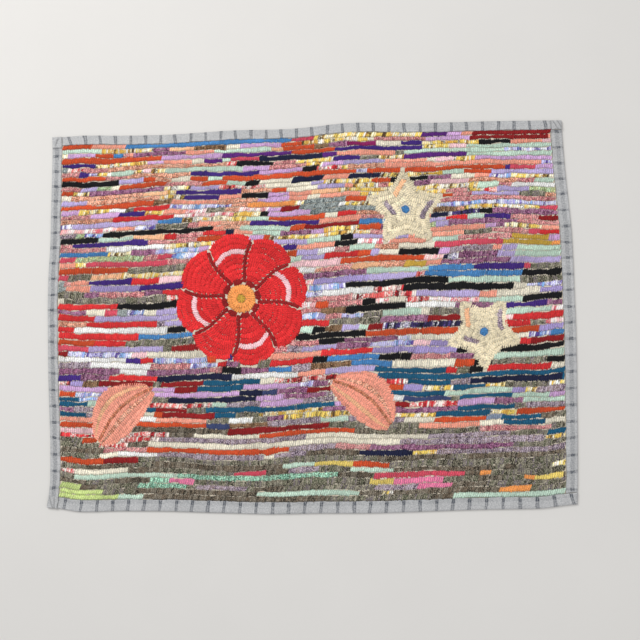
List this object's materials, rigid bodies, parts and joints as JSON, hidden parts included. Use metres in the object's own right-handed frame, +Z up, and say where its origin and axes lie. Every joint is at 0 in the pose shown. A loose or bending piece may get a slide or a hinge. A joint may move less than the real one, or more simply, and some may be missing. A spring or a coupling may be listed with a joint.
{
  "type": "hooked rug",
  "caption": "Small rectangular hooked rug with wavy rows of low pile and a folded cloth binding round its edges.",
  "frame": {"origin": "middle of the rug's outline, on the surface that it lies on", "axes": "+X along the rug's long side, +Y towards the top of its design, +Z up out of the pile"},
  "size_m": [0.8214, 0.6074, 0.0062],
  "materials": {
    "hooked_pile": "matt hooked rag loops",
    "binding_cloth": "matt woven cotton"
  },
  "bodies": {
    "root": {"hooked_ground": "hooked_pile", "binding_left": "binding_cloth", "binding_top": "binding_cloth", "binding_right": "binding_cloth", "binding_bottom": "binding_cloth"}
  },
  "joints": []
}
